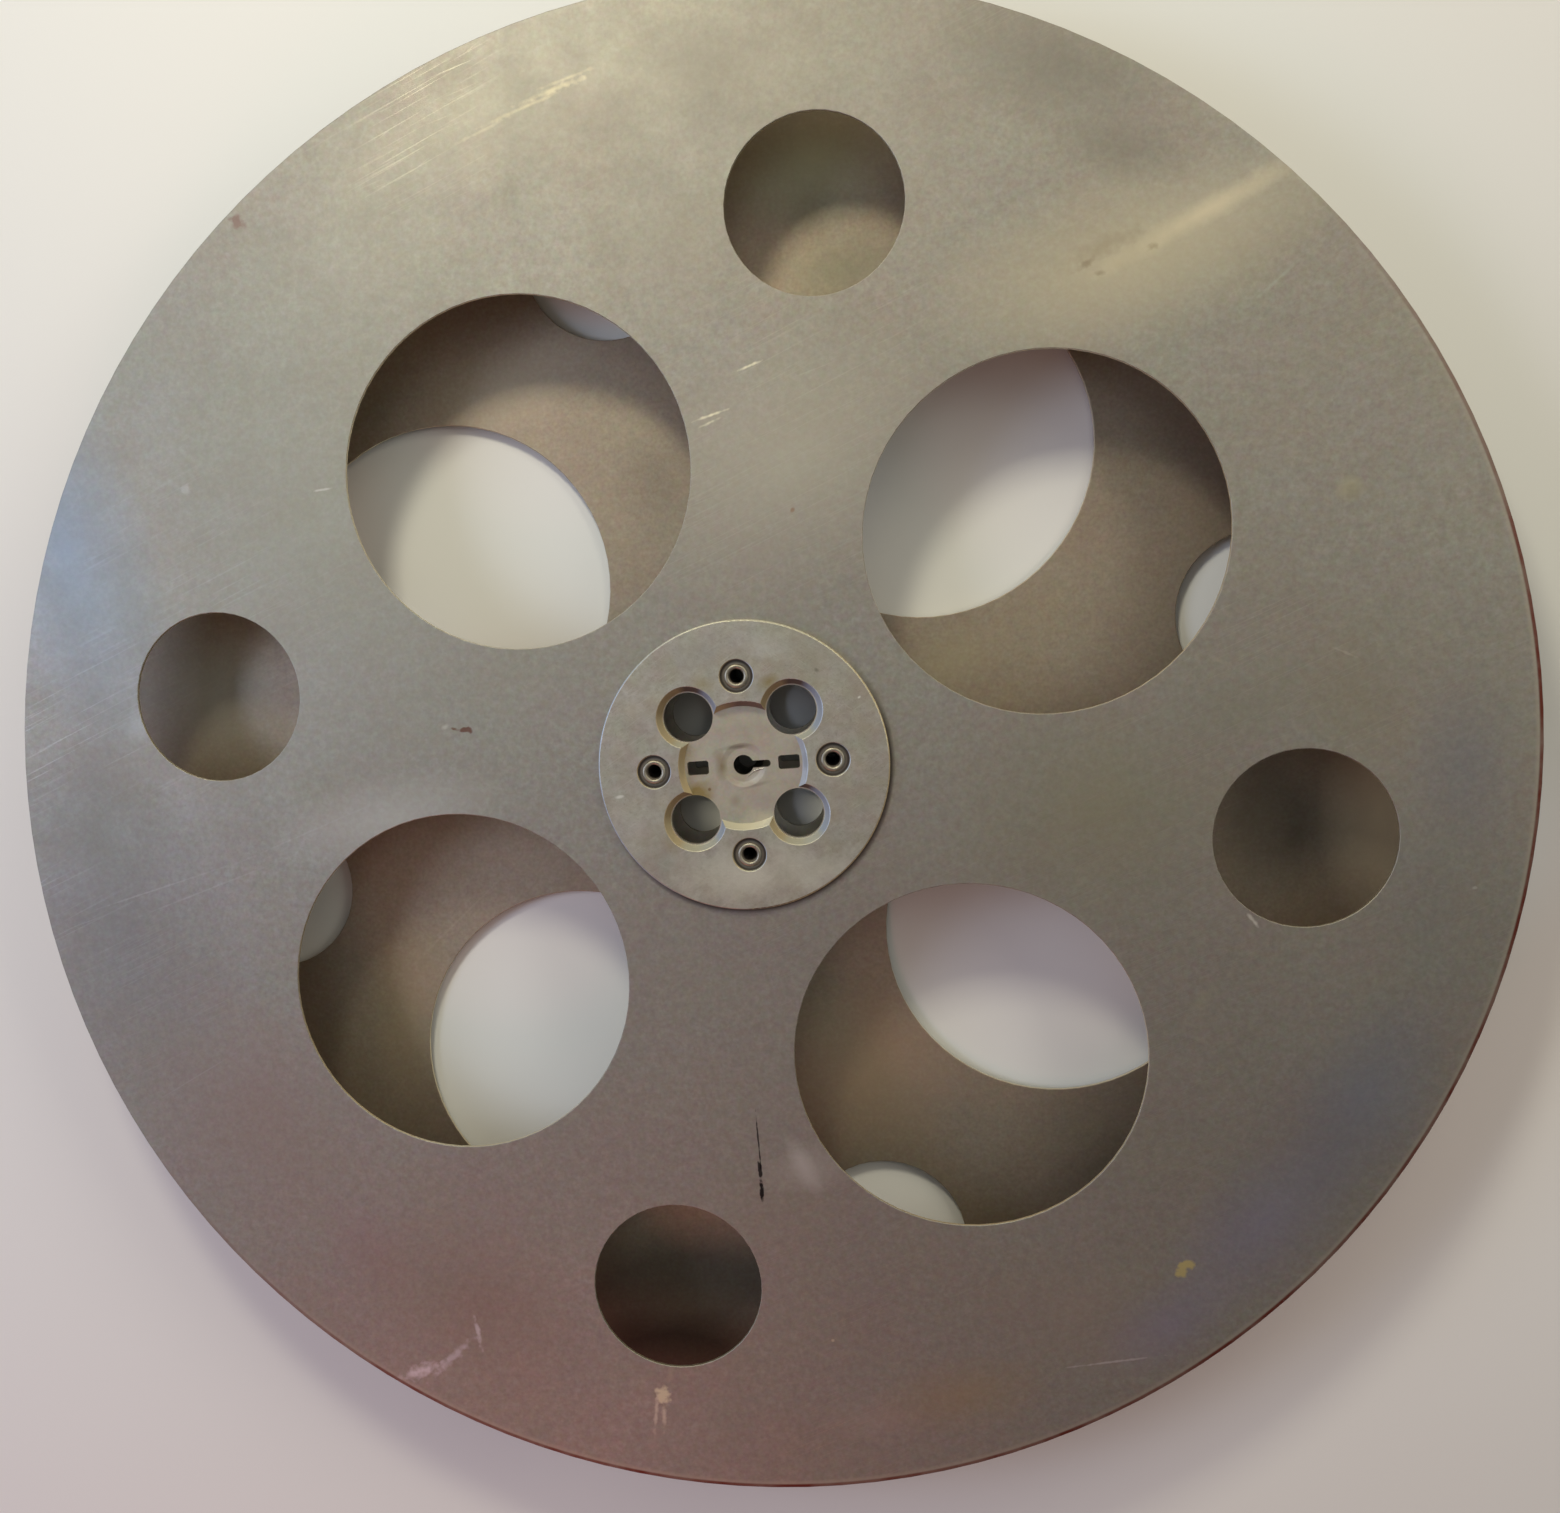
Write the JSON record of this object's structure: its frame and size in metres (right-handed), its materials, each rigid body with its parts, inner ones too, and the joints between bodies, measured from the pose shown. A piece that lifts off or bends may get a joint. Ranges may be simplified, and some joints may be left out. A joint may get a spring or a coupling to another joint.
{
  "type": "film reel",
  "caption": "Large metal film reel: two flat discs pierced with large and small round holes, riveted between hub plates over a hollow winding drum with a keyed spindle bore.",
  "frame": {"origin": "centre of the rear hub plate's outer face, on the spindle axis, on the surface that the reel lies on", "axes": "+Z along the spindle axis towards the reel's front face; +X along the keyway and the slots for the driving dog"},
  "size_m": [0.6095, 0.6096, 0.0469],
  "materials": {
    "flange_sheet": "rolled sheet, dull and scuffed, with oxide mottling",
    "hub_casting": "die-cast, matte",
    "drive_steel": "pressed steel, zinc plated, stained round the slots",
    "sleeve_steel": "drawn steel",
    "drum_aluminium": "rolled strip, plain",
    "seam_rivet_aluminium": "plain",
    "rivet_steel": "nickel plated",
    "spacer_steel": "plain tube"
  },
  "bodies": {
    "root": {"drum_seam_strap": "drum_aluminium", "front_drive_plate": "drive_steel", "front_flange": "flange_sheet", "front_hub_plate": "hub_casting", "rear_drive_plate": "drive_steel", "rear_flange": "flange_sheet", "rear_hub_plate": "hub_casting", "seam_rivet_1": "seam_rivet_aluminium", "seam_rivet_2": "seam_rivet_aluminium", "seam_rivet_3": "seam_rivet_aluminium", "seam_rivet_4": "seam_rivet_aluminium", "spacer_tube_1": "spacer_steel", "spacer_tube_2": "spacer_steel", "spacer_tube_3": "spacer_steel", "spacer_tube_4": "spacer_steel", "spindle_sleeve": "sleeve_steel", "tubular_rivet_1": "rivet_steel", "tubular_rivet_2": "rivet_steel", "tubular_rivet_3": "rivet_steel", "tubular_rivet_4": "rivet_steel", "winding_drum": "drum_aluminium"}
  },
  "joints": []
}
